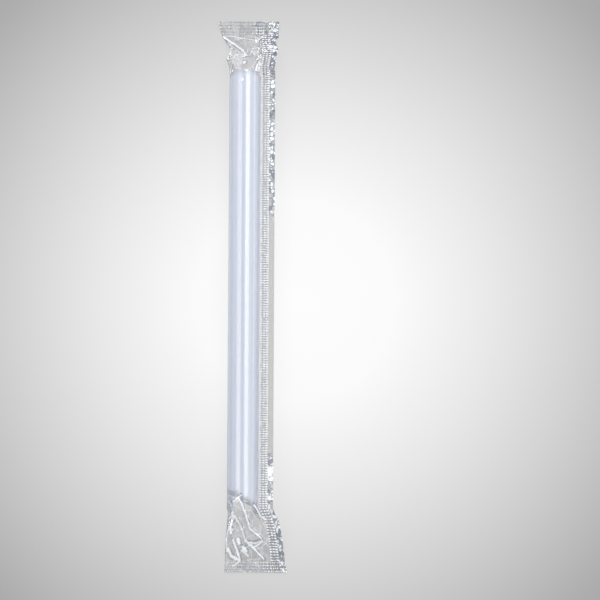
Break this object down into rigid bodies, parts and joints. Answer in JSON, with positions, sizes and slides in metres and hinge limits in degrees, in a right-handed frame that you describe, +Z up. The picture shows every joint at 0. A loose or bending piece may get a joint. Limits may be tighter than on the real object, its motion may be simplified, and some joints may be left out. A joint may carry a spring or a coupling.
{
  "type": "wrapped drinking straw",
  "caption": "Wide straight drinking straw, square at one end and cut slantwise at the other, sealed in a clear film wrapper with a crimped side seam and crimped ends.",
  "frame": {"origin": "middle of the whole pack's footprint, on the surface that it lies on", "axes": "+Y along the straw towards its square end, +X towards the side seam, +Z up"},
  "size_m": [0.029, 0.2422, 0.0123],
  "materials": {
    "straw": "pale translucent lilac white, glossy",
    "film": "clear, glossy and crisp"
  },
  "bodies": {
    "root": {"drinking_straw": "straw", "film_wrapper": "film"}
  },
  "joints": []
}
